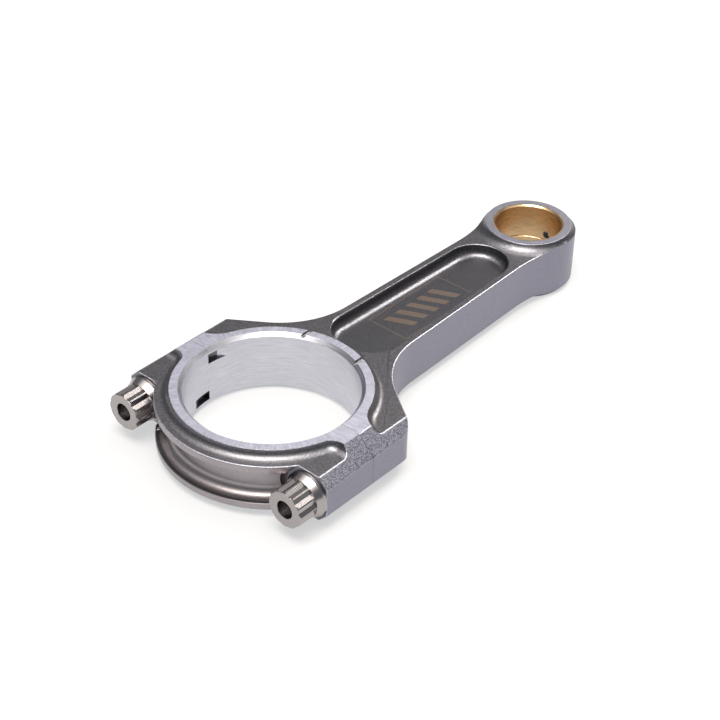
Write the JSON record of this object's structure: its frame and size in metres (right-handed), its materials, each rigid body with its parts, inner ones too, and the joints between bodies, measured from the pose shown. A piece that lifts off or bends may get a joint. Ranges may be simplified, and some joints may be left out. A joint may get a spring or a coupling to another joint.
{
  "type": "connecting rod",
  "caption": "Engine connecting rod with a pocketed beam, a bolted bearing cap and a bushed wrist-pin eye; it joins a piston to a crankshaft.",
  "frame": {"origin": "on the crankpin axis at mid-width, which is also in the joint face between the rod and its cap", "axes": "+X along the beam from the crankpin end to the wrist-pin end, +Z along both bores, +Y to the side that has the bearing tang slots"},
  "size_m": [0.1836, 0.083, 0.0216],
  "materials": {
    "rod_steel": "shot-peened forged steel, machined on the thrust faces and bores",
    "cap_steel": "shot-peened forged steel, machined on the thrust faces and bore",
    "bush_bronze": "finely turned bronze",
    "bolt_steel": "satin plated steel",
    "sleeve_steel": "ground steel"
  },
  "bodies": {
    "rod": {"rod_body": "rod_steel", "pin_bush": "bush_bronze", "dowel_sleeve_left": "sleeve_steel", "dowel_sleeve_right": "sleeve_steel"},
    "cap": {"bearing_cap": "cap_steel"},
    "bolt_left": {"cap_bolt_left": "bolt_steel"},
    "bolt_right": {"cap_bolt_right": "bolt_steel"}
  },
  "joints": [
    {"name": "cap_lift", "type": "slide", "parent": "rod", "child": "cap", "axis": [-1, 0, 0], "range_m": [0, 0.01693]},
    {"name": "bolt_right_turn", "type": "hinge", "parent": "cap", "child": "bolt_right", "pos_m": [-0.0205, -0.0339, 0], "axis": [-1, 0, 0], "range_deg": [0, 5760]},
    {"name": "bolt_left_turn", "type": "hinge", "parent": "cap", "child": "bolt_left", "pos_m": [-0.0205, 0.0339, 0], "axis": [-1, 0, 0], "range_deg": [0, 5760]}
  ],
  "couplings": [
    {"joint": "bolt_right_turn", "follows": "cap_lift", "rad_per_m": 5938.7},
    {"joint": "bolt_left_turn", "follows": "cap_lift", "rad_per_m": 5938.7}
  ]
}
